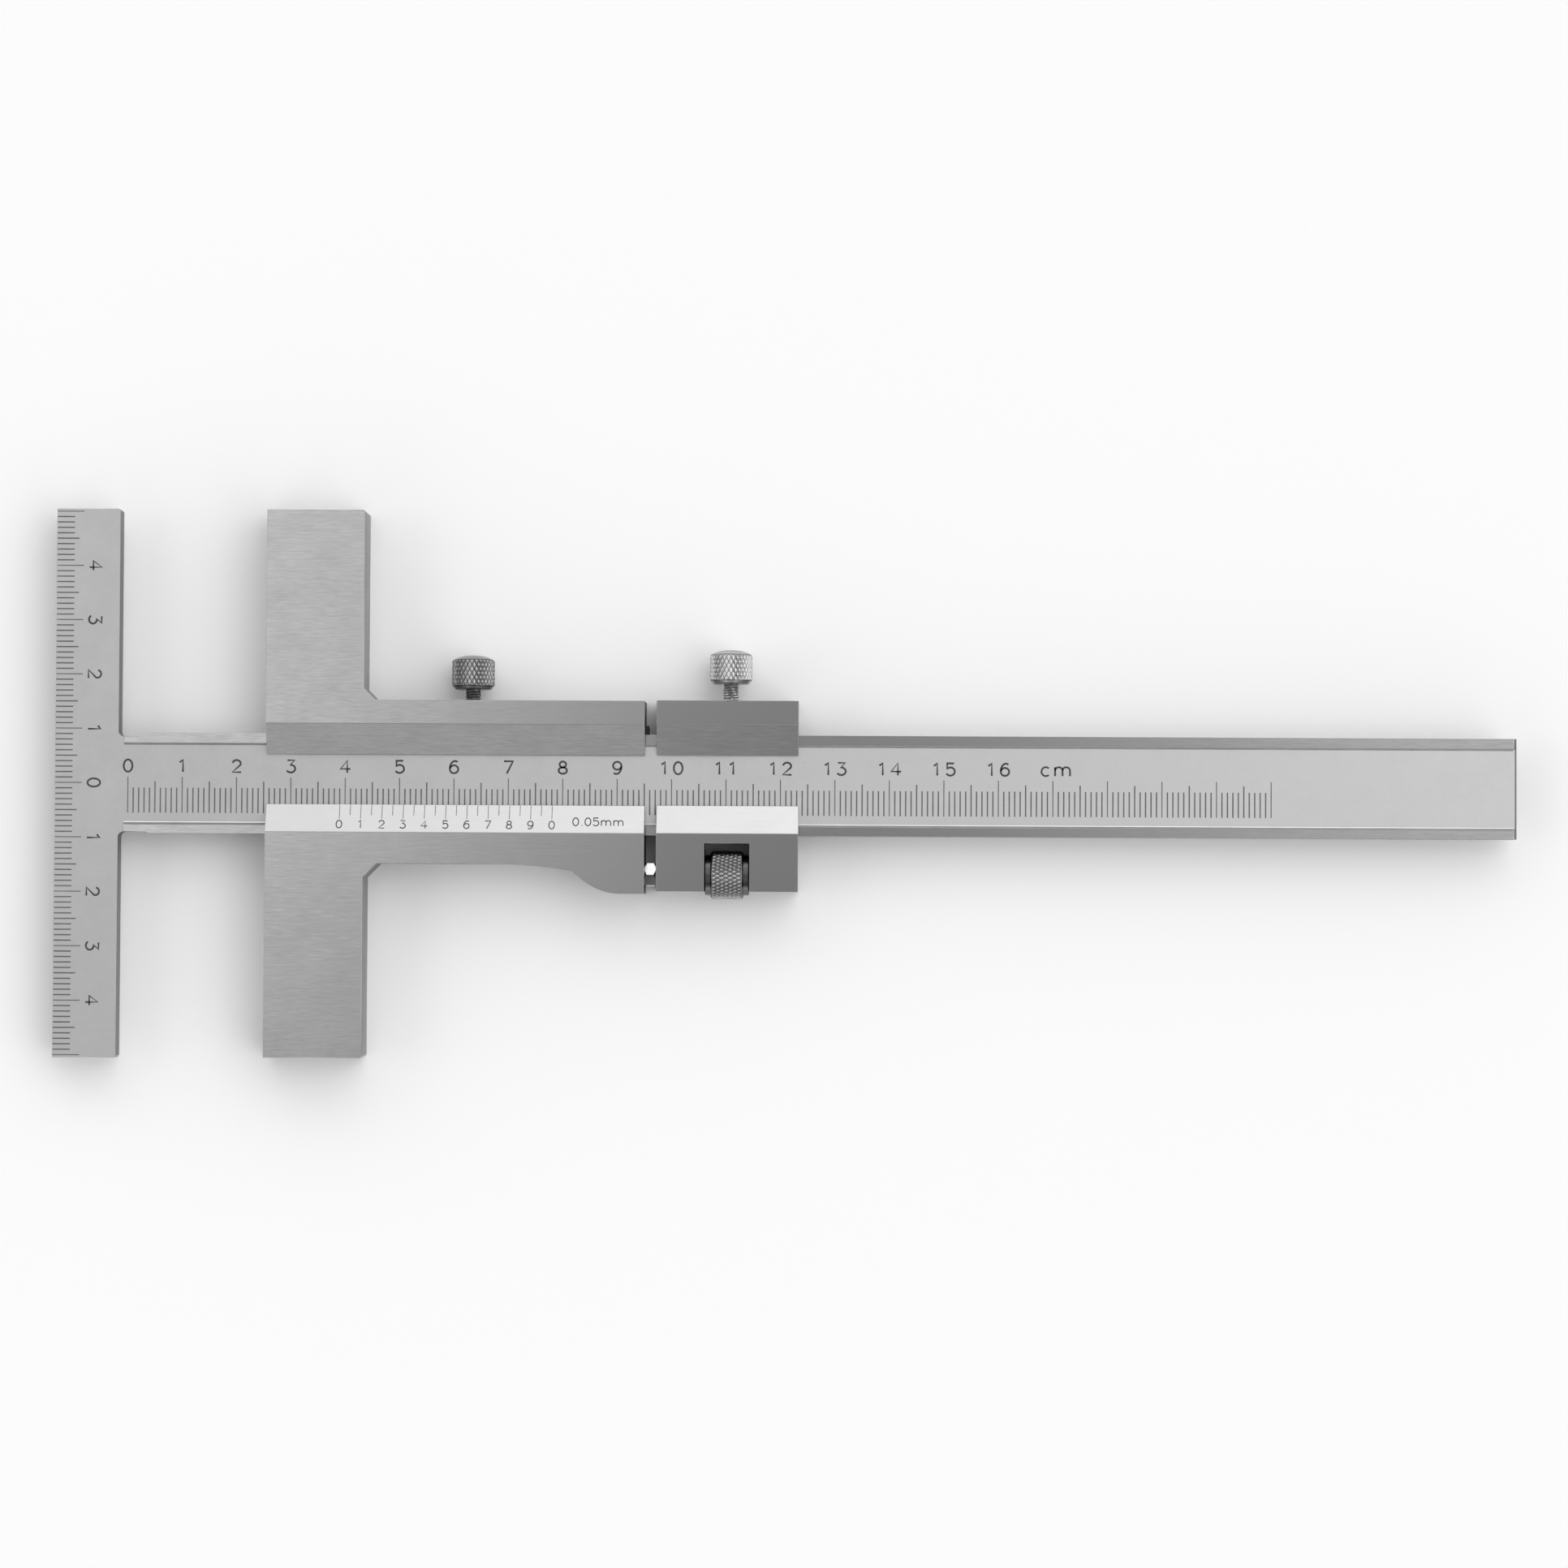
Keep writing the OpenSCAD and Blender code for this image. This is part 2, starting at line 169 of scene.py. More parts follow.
def make_room():
    """The world: one even light with the panels on top, and never more than MOST_LIGHT where panels
    overlap. Towards the horizon it all fades into one bright white: the light plus the fade times
    what it lacks to that. The horizon helps to keep the floor white. Seen from above, the top faces
    hardly mirror it, but in low views they do, and turn white."""
    world = bpy.data.worlds.new("white_room")
    bpy.context.scene.world = world
    world.use_nodes = True
    tree = world.node_tree
    light = ROOM_LIGHT
    for (right, back), full, outer, brightness in PANELS.values():
        panel = tree.nodes.new("ShaderNodeGroup")
        panel.node_tree = panel_group
        x, y = math.tan(math.radians(right)), math.tan(math.radians(back))
        length = math.sqrt(x * x + y * y + 1)
        panel.inputs["Direction"].default_value = (x / length, y / length, 1 / length)
        panel.inputs["Edge"].default_value = math.cos(math.radians(outer))
        panel.inputs["Inside"].default_value = math.cos(math.radians(full))
        panel.inputs["Brightness"].default_value = brightness
        light = calculate(tree, "ADD", light, panel.outputs["Light"])
    light = calculate(tree, "MINIMUM", light, MOST_LIGHT)
    ray = tree.nodes.new("ShaderNodeTexCoord")
    parts = tree.nodes.new("ShaderNodeSeparateXYZ")
    tree.links.new(ray.outputs["Generated"], parts.inputs[0])
    fade = tree.nodes.new("ShaderNodeMapRange")
    fade.interpolation_type = "SMOOTHSTEP"
    fade.inputs["From Min"].default_value = HORIZON_FROM
    fade.inputs["From Max"].default_value = HORIZON_TO
    tree.links.new(parts.outputs["Z"], fade.inputs["Value"])
    lacks = calculate(tree, "SUBTRACT", HORIZON_LIGHT, light)
    faded = calculate(tree, "MULTIPLY", fade.outputs["Result"], lacks)
    light = calculate(tree, "ADD", light, faded)
    light = calculate(tree, "MAXIMUM", light, LEAST_LIGHT)
    tree.links.new(light, tree.nodes["Background"].inputs["Color"])


make_room()
print("panels:", ", ".join(PANELS))

# %% [markdown]
# ## The floor
# The tool lies on the backs of its slider and block, so the floor is at their height. It is matt
# white paper: it shows as white by its own colour and the bright horizon, and it keeps the tool's
# soft shadow.

# %% Floor
FLOOR_REACH = 3.0
FLOOR_BELOW = 0.02 * MM
PAPER_WHITE, PAPER_ROUGH, PAPER_SHINE = 0.98, 0.95, 0.1
floor_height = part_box("slider")[0].z - FLOOR_BELOW
floor_mesh = bpy.data.meshes.new("paper_floor")
floor_corners = np.array([[-1, -1, 0], [1, -1, 0], [1, 1, 0], [-1, 1, 0]]) * FLOOR_REACH
floor_mesh.from_pydata(floor_corners + [0, 0, floor_height], [], [[0, 1, 2, 3]])
floor = bpy.data.objects.new("paper_floor", floor_mesh)
bpy.context.scene.collection.objects.link(floor)
paper = bpy.data.materials.new("white_paper")
paper.use_nodes = True
paper_shader = paper.node_tree.nodes["Principled BSDF"]
paper_shader.inputs["Base Color"].default_value = (PAPER_WHITE, PAPER_WHITE, PAPER_WHITE, 1)
paper_shader.inputs["Roughness"].default_value = PAPER_ROUGH
paper_shader.inputs["Specular IOR Level"].default_value = PAPER_SHINE
floor_mesh.materials.append(paper)
print("floor height in mm:", round(floor_height / MM, 2))

# %% [markdown]
# ## Ground steel
# A grinding wheel leaves fine parallel scratches. Seen from a hand's width away they are streaks a
# few millimetres long and a tenth of a millimetre wide, and softer clouds lie over them. One node
# group makes both for every steel in this scene: noise that is stretched along the grain gives the
# streaks, and plain noise gives the clouds. It reads Object coordinates, so the pattern stays on
# the piece when the piece moves.

# %% Node group: grinding grain
FINE_SCALE, FINE_SHARE = 1.0, 0.72
COARSE_SCALE, COARSE_SHARE = 0.35, 0.28
CLOUD_SCALE = 160
MIDDLE = 0.5


def noise_on(tree, vector, scale, detail):
    """A Noise Texture on a vector. It returns the socket of its value."""
    noise = tree.nodes.new("ShaderNodeTexNoise")
    noise.inputs["Scale"].default_value = scale
    noise.inputs["Detail"].default_value = detail
    tree.links.new(vector, noise.inputs["Vector"])
    return noise.outputs["Fac"]


def make_grain_group():
    """The streaks are noise on the Object coordinates, multiplied by Stretch. The clouds are noise
    on the unstretched ones. Tone is the middle plus both, each less its own middle and weighed by
    its input. Gloss is the middle less the same, and Height is the streaks alone."""
    group, given, result = group_of(
        "grinding_grain",
        [("Stretch", "Vector", (100, 3000, 3000)), ("Streaks", "Float", 0.5),
         ("Clouds", "Float", 0.5)],
        [("Tone", "Float", None), ("Gloss", "Float", None), ("Height", "Float", None)],
    )
    place = group.nodes.new("ShaderNodeTexCoord")
    stretched = group.nodes.new("ShaderNodeVectorMath")
    stretched.operation = "MULTIPLY"
    group.links.new(place.outputs["Object"], stretched.inputs[0])
    group.links.new(given.outputs["Stretch"], stretched.inputs[1])
    fine = noise_on(group, stretched.outputs["Vector"], FINE_SCALE, detail=3)
    coarse = noise_on(group, stretched.outputs["Vector"], COARSE_SCALE, detail=2)
    streaks = calculate(group, "ADD", calculate(group, "MULTIPLY", fine, FINE_SHARE),
                        calculate(group, "MULTIPLY", coarse, COARSE_SHARE))
    clouds = noise_on(group, place.outputs["Object"], CLOUD_SCALE, detail=3)
    streak_part = calculate(group, "MULTIPLY", calculate(group, "SUBTRACT", streaks, MIDDLE),
                            given.outputs["Streaks"])
    cloud_part = calculate(group, "MULTIPLY", calculate(group, "SUBTRACT", clouds, MIDDLE),
                           given.outputs["Clouds"])
    both = calculate(group, "ADD", streak_part, cloud_part)
    group.links.new(calculate(group, "ADD", both, MIDDLE, clamp=True), result.inputs["Tone"])
    group.links.new(calculate(group, "SUBTRACT", MIDDLE, both, clamp=True), result.inputs["Gloss"])
    group.links.new(streaks, result.inputs["Height"])
    return group


grain_group = make_grain_group()
print("made the node group", grain_group.name)

# %% [markdown]
# ## The steels
# Every steel here is the same kind of material: a metal whose colour swings a little between two
# tones, whose roughness swings with the grain, and whose scratches are a slight bump. What differs
# is how bright it is, how rough, and whether its grain runs along the beam or is even all round.
# The shader itself stays in the material, where the export can read it.

# %% Steel materials
ALONG_BEAM = (420, 6200, 6200)
NO_GRAIN = (2500, 2500, 2500)
BLUE_TINT = 1.005
ROUGH_SWING = 0.25
SCRATCH_DEEP = 0.004 * MM


def mixed_colour(tree, factor, low, high):
    """Two greys with a trace of blue, mixed by a mask. It returns the colour's socket."""
    mix = tree.nodes.new("ShaderNodeMix")
    mix.data_type = "RGBA"
    mix.inputs["A"].default_value = (low, low, low * BLUE_TINT, 1)
    mix.inputs["B"].default_value = (high, high, high * BLUE_TINT, 1)
    tree.links.new(factor, mix.inputs["Factor"])
    return mix.outputs["Result"]


def swing(tree, factor, low, high):
    """A mask from 0 to 1 as a value from low to high."""
    node = tree.nodes.new("ShaderNodeMapRange")
    node.inputs["To Min"].default_value = low
    node.inputs["To Max"].default_value = high
    tree.links.new(factor, node.inputs["Value"])
    return node.outputs["Result"]


def steel(name, tone, roughness, grain, streaks=1.0, clouds=0.3, contrast=0.13, bump=0.12):
    """Ground or turned steel. Tone is its mean grey, and grain is the Stretch of its streaks.
    Contrast is how far the tone swings with the grain, as a share."""
    material = bpy.data.materials.new(name)
    material.use_nodes = True
    tree = material.node_tree
    shader = tree.nodes["Principled BSDF"]
    texture = tree.nodes.new("ShaderNodeGroup")
    texture.node_tree = grain_group
    texture.inputs["Stretch"].default_value = grain
    texture.inputs["Streaks"].default_value = streaks
    texture.inputs["Clouds"].default_value = clouds
    shader.inputs["Metallic"].default_value = 1
    dark, bright = tone * (1 - contrast), tone * (1 + contrast)
    colour = mixed_colour(tree, texture.outputs["Tone"], dark, bright)
    tree.links.new(colour, shader.inputs["Base Color"])
    smooth, rough_most = roughness * (1 - ROUGH_SWING), roughness * (1 + ROUGH_SWING)
    rough = swing(tree, texture.outputs["Gloss"], smooth, rough_most)
    tree.links.new(rough, shader.inputs["Roughness"])
    bumps = tree.nodes.new("ShaderNodeBump")
    bumps.inputs["Strength"].default_value = bump
    bumps.inputs["Distance"].default_value = SCRATCH_DEEP
    tree.links.new(texture.outputs["Height"], bumps.inputs["Height"])
    tree.links.new(bumps.outputs["Normal"], shader.inputs["Normal"])
    return material


ground_steel = steel("ground_steel", 0.57, 0.22, ALONG_BEAM, contrast=0.2)
block_steel = steel("ground_block_steel", 0.465, 0.22, ALONG_BEAM, contrast=0.24)
land_steel = steel("ground_land", 0.585, 0.20, ALONG_BEAM, contrast=0.2)
satin_chrome = steel("satin_chrome", 0.70, 0.42, NO_GRAIN, streaks=0.4, clouds=0.9, contrast=0.13)
# The sides are milled, and their dark tone is partly painted shade, which stands in for the shaded
# paper that they mirror.
milled_shaded_steel = steel("milled_side_with_painted_shade", 0.21, 0.36, ALONG_BEAM, contrast=0.3)
beam_side_shaded_steel = steel("milled_beam_side_with_painted_shade", 0.12, 0.36, ALONG_BEAM, contrast=0.3)
# The walls of the gap and of the nut's window are painted nearly black: painted shade in the deep
# gaps.
shaded_pocket_steel = steel("pocket_wall_painted_shade", 0.012, 0.42, NO_GRAIN, contrast=0.4)
# The rounded edges are darker than the faces: painted shade that tones down the bright line their
# bevels would catch.
edge_steel_with_painted_shade = steel("edge_steel_with_painted_shade", 0.46, 0.30, NO_GRAIN, contrast=0.15)
bevel_steel = steel("satin_bevel", 0.66, 0.34, ALONG_BEAM, streaks=0.6, contrast=0.16)
blued_steel = steel("blued_spring", 0.05, 0.38, ALONG_BEAM, contrast=0.4)
dark_steel = steel("oiled_dark_steel", 0.16, 0.34, NO_GRAIN, contrast=0.4)
# A darker steel for the lands' inner edges and the upper land's foot: painted shade.
corner_shade_steel = steel("painted_shade_in_a_corner", 0.38, 0.45, ALONG_BEAM, contrast=0.4)
print("steels:", ", ".join(m.name for m in bpy.data.materials))

# %% [markdown]
# ## Machined pieces
# The beam, the slider and the block are cut from bar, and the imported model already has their
# shapes. What it lacks is the soft edge that every real one has. A copy of the node is merged into
# one skin, flat faces that meet without an angle become one face, and the Bevel modifier rounds the
# outer edges. The copy stands for the node, which stays hidden for the physics.

# %% Helper: machined copy
# In degrees: faces that meet within the first are one face, edges that stick out by more than the
# second get a bevel, and edges sharper than the third stay sharp in the shading.
ONE_FACE, STICKS_OUT, SHARP = 0.5, 15, 25
SAME_POINT = 0.001 * MM


def machined_copy(node, name, body, width, materials, finish_of, shortest=0.5 * MM):
    """A copy of a CAD node with rounded outer edges. Only edges that stick out and are longer than
    the shortest length get a bevel. finish_of takes the faces' centres and normals as arrays and
    gives each face the number of its material; the bevels take the last material."""
    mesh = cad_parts[node].data.copy()
    mesh.name = name
    skin = bmesh.new()
    skin.from_mesh(mesh)
    bmesh.ops.remove_doubles(skin, verts=skin.verts, dist=SAME_POINT)
    bmesh.ops.dissolve_limit(
        skin, angle_limit=math.radians(ONE_FACE), verts=skin.verts, edges=skin.edges)
    weight = skin.edges.layers.float.new("bevel_weight_edge")
    for edge in skin.edges:
        joins_two = len(edge.link_faces) == 2
        sticks_out = joins_two and edge.calc_face_angle_signed() > math.radians(STICKS_OUT)
        edge[weight] = 1.0 if sticks_out and edge.calc_length() > shortest else 0.0
    skin.to_mesh(mesh)
    skin.free()
    mesh.materials.clear()
    for material in materials:
        mesh.materials.append(material)
    count = len(mesh.polygons)
    centres, normals = np.zeros(3 * count), np.zeros(3 * count)
    mesh.polygons.foreach_get("center", centres)
    mesh.polygons.foreach_get("normal", normals)
    finish = finish_of(centres.reshape(-1, 3) / MM, normals.reshape(-1, 3))
    mesh.polygons.foreach_set("material_index", finish.astype(np.int32))
    mesh.shade_smooth()
    mesh.set_sharp_from_angle(angle=math.radians(SHARP))
    piece = bpy.data.objects.new(name, mesh)
    bpy.context.scene.collection.objects.link(piece)
    bevel = piece.modifiers.new("soft_edges", "BEVEL")
    bevel.width = width
    bevel.segments = 2
    bevel.limit_method = "WEIGHT"
    bevel.use_clamp_overlap = False
    bevel.harden_normals = True
    bevel.material = len(materials) - 1
    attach(piece, body)
    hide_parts(node)
    print(f"{name}: {count} faces, {len(mesh.edges)} edges")


# %% [markdown]
# ### The beam
# Its scale face and the crossbar have a satin chrome finish, so that the lines read well. The two
# guide lands stand a little higher and are ground bright, because the slider runs on them. The
# sides are milled, and their darker colour is partly painted shade.

# %% Beam
SCALE_FACE_HEIGHT = 1.85
ABOVE_SCALE = 0.05
FACES_UP = 0.9


def beam_finish(centres, normals):
    """0 for the satin scale face, 1 for the lands and the back, and 2 for the sides."""
    up = normals[:, 2] > FACES_UP
    land = up & (centres[:, 2] > SCALE_FACE_HEIGHT + ABOVE_SCALE)
    back = normals[:, 2] < -FACES_UP
    return np.select([land | back, up], [1, 0], 2)


machined_copy(
    "beam_rule", "graduated_beam", "beam", 0.06 * MM,
    [satin_chrome, land_steel, beam_side_shaded_steel, edge_steel_with_painted_shade], beam_finish,
)

# %% [markdown]
# ### The slider and the block
# Both are ground on the faces. The bevel along the lower lip is satin, because the vernier's lines
# are on it. The side faces are milled, and their darker colour is partly painted shade. The walls
# of the gap and of the nut's window are painted nearly black, as shade.

# %% Slider and block
# Where the walls of the gap and of the nut's window lie. Along the beam this comes from the boxes
# of the pieces beside them, with a margin.
BESIDE_GAP, BESIDE_NUT = 0.05, 0.5
GAP_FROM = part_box("slider")[1].x / MM - BESIDE_GAP
GAP_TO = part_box("fine_block")[0].x / MM + BESIDE_GAP
WINDOW_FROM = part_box("knurled_nut")[0].x / MM - BESIDE_NUT
WINDOW_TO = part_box("knurled_nut")[1].x / MM + BESIDE_NUT
WINDOW_OUTER, WINDOW_INNER = -19.4, -10
# A side's normal rises less than STEEP. A bevel's rises more, but less than LEVEL, and it leans
# towards the back by more than LEANS.
STEEP, LEVEL, LEANS = 0.5, 0.99, 0.1


def slider_finish(centres, normals):
    """0 for the ground faces, 1 for the bevels that lean towards the back, 2 for the sides, which
    are milled and partly painted with shade, and 3 for the walls of the gap between slider and
    block and of the nut's window, which are painted nearly black as shade."""
    x, y, rise = centres[:, 0], centres[:, 1], normals[:, 2]
    upright = np.abs(rise) < STEEP
    in_gap = (x > GAP_FROM) & (x < GAP_TO)
    in_window = (x > WINDOW_FROM) & (x < WINDOW_TO) & (y < WINDOW_INNER) & (y > WINDOW_OUTER)
    toward_back = (rise > STEEP) & (rise < LEVEL) & (normals[:, 1] > LEANS)
    return np.select([upright & (in_gap | in_window), upright, toward_back], [3, 2, 1], 0)


machined_copy(
    "slider", "sliding_jaws", "slider", 0.07 * MM,
    [ground_steel, bevel_steel, milled_shaded_steel, shaded_pocket_steel, edge_steel_with_painted_shade], slider_finish,
)
machined_copy(
    "fine_block", "adjusting_block", "block", 0.05 * MM,
    [block_steel, bevel_steel, milled_shaded_steel, shaded_pocket_steel, edge_steel_with_painted_shade], slider_finish,
)

# %% [markdown]
# ### The strips and the small screws
# Two thin strips of blackened spring steel lie between the beam and what slides on it. Small
# slotted screws and a cross pin hold things in place inside.

# %% Gib strips, set screws and cross pin


def one_finish(centres, normals):
    """Every face has the first material."""
    return np.zeros(len(centres))


STRIPS = (("slider_gib", "slider_strip", "slider"), ("block_gib", "block_strip", "block"))
for node, name, body in STRIPS:
    machined_copy(node, name, body, 0.1 * MM, [blued_steel, blued_steel], one_finish)
machined_copy("gib_set_screws", "strip_set_screws", "slider", 0.05 * MM,
              [dark_steel, dark_steel], one_finish, shortest=0.15 * MM)
machined_copy("spindle_pin", "cross_pin", "slider", 0.05 * MM,
              [dark_steel, dark_steel], one_finish, shortest=0.05 * MM)

# %% [markdown]
# ## Turned pieces
# A screw is a surface of revolution with something cut into it. Its surface is a function of two
# numbers: how far along the profile a point is, and how far round the axis it has turned. The
# profile gives the radius, and the knurl or the thread takes a little away from it.

# %% Helpers: grid surfaces
PROFILE_STEP = 0.08
TURNED_SHARP = 35
SAME_TURNED_POINT = 0.0002 * MM
GROOVE_WIDE, THREAD_WIDE = 0.7, 0.9


def grid_faces(rows, columns):
    """The quads of a grid whose columns close into a ring: each joins a point, its neighbour in the
    ring, and the same two points of the next row."""
    row = np.arange(rows - 1)[:, None]
    column = np.arange(columns)[None, :]
    following = (column + 1) % columns
    corners = (row * columns + column, row * columns + following,
               (row + 1) * columns + following, (row + 1) * columns + column)
    return np.stack(np.broadcast_arrays(*corners), -1).reshape(-1, 4)


def new_piece(name, points, faces, material, body, smooth=True):
    """A closed mesh from arrays in metres: doubles are merged, and faces point outwards."""
    mesh = bpy.data.meshes.new(name)
    mesh.from_pydata(points, [], faces)
    skin = bmesh.new()
    skin.from_mesh(mesh)
    bmesh.ops.remove_doubles(skin, verts=skin.verts, dist=SAME_TURNED_POINT)
    bmesh.ops.recalc_face_normals(skin, faces=skin.faces)
    skin.to_mesh(mesh)
    skin.free()
    mesh.materials.append(material)
    if smooth:
        mesh.shade_smooth()
        mesh.set_sharp_from_angle(angle=math.radians(TURNED_SHARP))
    piece = bpy.data.objects.new(name, mesh)
    bpy.context.scene.collection.objects.link(piece)
    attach(piece, body)
    print(f"{name}: {len(mesh.vertices)} points, {len(mesh.polygons)} faces")
    return piece


def even_profile(corners, step):
    """Points along a profile of straight runs: every corner, and points a step apart between."""
    corners = np.asarray(corners, float)
    reach = np.concatenate([[0], np.cumsum(np.hypot(*np.diff(corners, axis=0).T))])
    place = np.union1d(reach, np.arange(0, reach[-1], step))
    return np.interp(place, reach, corners[:, 0]), np.interp(place, reach, corners[:, 1])


def groove(phase, width):
    """A V groove that repeats once per unit of phase: 1 on its bottom, in the middle of the unit,
    falling evenly to 0 at half its width on each side."""
    away = np.abs(phase - np.floor(phase) - 0.5)
    return np.clip(1 - away / (width / 2), 0, 1)


def knurl(turn, along, count, tall):
    """Two families of grooves wind round the barrel in opposite ways. The phase is the count times
    the turn, plus or minus the height over one diamond's height, and the deeper groove wins."""
    climb = along / tall
    return np.maximum(groove(count * turn + climb, GROOVE_WIDE),
                      groove(count * turn - climb, GROOVE_WIDE))


def thread(turn, along, pitch):
    """One groove that climbs a pitch with each turn: the phase is the height over the pitch, less
    the turn. With the axis upright it climbs to the right, as a right-hand thread does."""
    return groove(along / pitch - turn, THREAD_WIDE)


ACROSS = {"X": ((0, 1, 0), (0, 0, 1)), "Y": ((0, 0, 1), (1, 0, 0))}


def turned_piece(name, corners, sides, cut, depth, start, axis, material, body):
    """A surface of revolution from its profile's corners, given as (height along the axis, radius).
    The point at a height and a turn is the start, plus the height along the axis, plus the radius
    times the cosine and sine of the turn along the two directions across it. cut gives the radius
    that is left, and depth the share of painted shade, mostly a groove's share of its depth, kept
    as a point attribute."""
    along, radius = even_profile(corners, PROFILE_STEP)
    turn, along, radius = np.broadcast_arrays(
        np.arange(sides) / sides, along[:, None], radius[:, None])
    radius = cut(turn, along, radius)
    angle = 2 * np.pi * turn[..., None]
    first, second = np.array(ACROSS[axis], float)
    forward = np.cross(first, second)
    outward = np.cos(angle) * first + np.sin(angle) * second
    places = along[..., None] * forward + radius[..., None] * outward
    points = ((places + start) * MM).reshape(-1, 3)
    piece = new_piece(name, points, grid_faces(*radius.shape), material, body)
    left = np.zeros(3 * len(piece.data.vertices))
    piece.data.vertices.foreach_get("co", left)
    left = left.reshape(-1, 3) / MM - start
    heights = left @ forward
    grooves = depth(heights, np.linalg.norm(left - heights[:, None] * forward, axis=1))
    # The share of painted shade at each point, kept on the points for the material.
    attribute = piece.data.attributes.new("groove_shade", "FLOAT", "POINT")
    attribute.data.foreach_set("value", np.clip(grooves, 0, 1).astype(np.float32))
    return piece


print("helpers for turned pieces are ready")

# %% [markdown]
# ### Knurled steel
# Knurling presses a pattern of diamonds into a turned head, for grip. The grooves are darkened
# with painted shade. The mesh knows how deep each point lies, so it is stored on the points as an
# attribute, and the material darkens with it.

# %% Knurled steel


def knurled_steel(name, crest, valley, roughness):
    """Steel whose tone goes from crest to valley with the groove attribute. The valley's tone is
    painted shade.
    """
    material = steel(name, crest, roughness, NO_GRAIN, streaks=1.0, clouds=0.6, contrast=0.2)
    tree = material.node_tree
    shader = tree.nodes["Principled BSDF"]
    depth = tree.nodes.new("ShaderNodeAttribute")
    depth.attribute_name = "groove_shade"
    clean = shader.inputs["Base Color"].links[0].from_socket
    mix = tree.nodes.new("ShaderNodeMix")
    mix.data_type = "RGBA"
    tree.links.new(depth.outputs["Fac"], mix.inputs["Factor"])
    tree.links.new(clean, mix.inputs["A"])
    mix.inputs["B"].default_value = (valley, valley, valley, 1)
    tree.links.new(mix.outputs["Result"], shader.inputs["Base Color"])
    return material


# The second tone of each is the grooves' tone: painted shade.
slider_screw_steel = knurled_steel("dark_knurled_steel", 0.46, 0.06, 0.30)
block_screw_steel = knurled_steel("bright_knurled_steel", 0.68, 0.22, 0.30)
nut_steel = knurled_steel("nut_steel_with_painted_shade", 0.46, 0.09, 0.32)
spindle_steel = knurled_steel("bright_turned_steel", 0.66, 0.20, 0.22)
print("knurled steels are ready")

# %% [markdown]
# ### The lock screws
# Each is one turned piece: a short point that sits in the strip, a threaded shank, and a knurled
# head that is chamfered at both ends. The chamfers are turned after the knurl is rolled, so the
# radius that is left is the smaller of the chamfer's and the knurl's.

# %% Lock screws
HEAD_RADIUS = 3.95
HEAD_TALL = 6.3
SHANK_RADIUS = 1.45
SHANK_CHAMFER = 0.2
POINT_RADIUS = 1.0
POINT_LONG = 0.625
POINT_CHAMFER = 0.15
HEAD_DIAMONDS = 30
SIDES_A_DIAMOND = 6
DIAMOND_TALL = 1.55
KNURL_DEPTH = 0.2
THREAD_DEPTH = 0.16
PITCH = 0.5
# The share of painted shade on the crown, the point and the chamfers.
CROWN_SHADE = 0.35
# Cuts and masks start or end a hair beside the corners of the profile, and crests lie a hair under
# it. The knurl reaches this far inward over the crown.
HAIR = 0.01
KNURL_INWARD = 1.6
# The mask of painted shade on the head starts above its underside and ends below its top by
# these, and on the shank it starts above the shoulder by the third.
SHADED_FROM, SHADED_TO, SHANK_SHADED_FROM = 0.5, 0.8, 0.1
# The chamfer under the head: how far each point lies above the underside and inside the barrel.
FOOT = np.array([(0, 0.75), (0.12, 0.55), (0.85, 0)])
# The domed crown's edge: how far each point lies below the top and inside the barrel.
CROWN = np.array([(1.2, 0), (1, 0.1), (0.8, 0.36), (0.6, 0.75),
                  (0.38, 1.25), (0.18, 1.95), (0.05, 2.8), (0, 3.4)])


def lock_screw(node, name, body, material, crown):
    """The profile runs from the point's tip along the outside to the middle of the domed crown. On
    the barrel the radius is the smaller of the profile's and the knurl's, and on the shank of
    the profile's and the thread's. The knurl is also rolled over the crown's edge by the share
    crown."""
    low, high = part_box(node)
    centre = ((low.x + high.x) / 2 / MM, low.y / MM, (low.z + high.z) / 2 / MM)
    top = (high.y - low.y) / MM
    under = top - HEAD_TALL
    corners = np.vstack([
        [(0, 0), (0, POINT_RADIUS - POINT_CHAMFER), (POINT_CHAMFER, POINT_RADIUS),
         (POINT_LONG, POINT_RADIUS), (POINT_LONG, SHANK_RADIUS - SHANK_CHAMFER),
         (POINT_LONG + SHANK_CHAMFER, SHANK_RADIUS), (under, SHANK_RADIUS)],
        FOOT * [1, -1] + [under, HEAD_RADIUS],
        CROWN * [-1, -1] + [top, HEAD_RADIUS],
        [(top, 0)],
    ])

    def cut(turn, along, radius):
        grooves = KNURL_DEPTH * knurl(turn, along, HEAD_DIAMONDS, DIAMOND_TALL)
        rolled = np.where(along > top - CROWN[0, 0], crown * (HEAD_RADIUS - radius), 0)
        threads = SHANK_RADIUS - THREAD_DEPTH * thread(turn, along, PITCH)
        on_head = (along > under + HAIR) & (radius > HEAD_RADIUS - KNURL_INWARD)
        on_shank = (along > POINT_LONG) & (along < under - HAIR)
        knurled = HEAD_RADIUS - HAIR - rolled - grooves
        return np.minimum(radius, np.select([on_head, on_shank], [knurled, threads], radius))

    # Painted shade: deeper into the knurl's and the thread's grooves, a fixed share elsewhere.
    def depth(along, radius):
        on_barrel = (along > under + SHADED_FROM) & (along < top - SHADED_TO)
        on_shank = (along > POINT_LONG + SHANK_SHADED_FROM) & (along < under - HAIR)
        in_knurl = (HEAD_RADIUS - radius) / KNURL_DEPTH
        in_thread = (SHANK_RADIUS - radius) / THREAD_DEPTH
        return np.select([on_barrel, on_shank], [in_knurl, in_thread], CROWN_SHADE)

    piece = turned_piece(name, corners, SIDES_A_DIAMOND * HEAD_DIAMONDS, cut, depth, centre, "Y",
                         material, body)
    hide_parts(node)


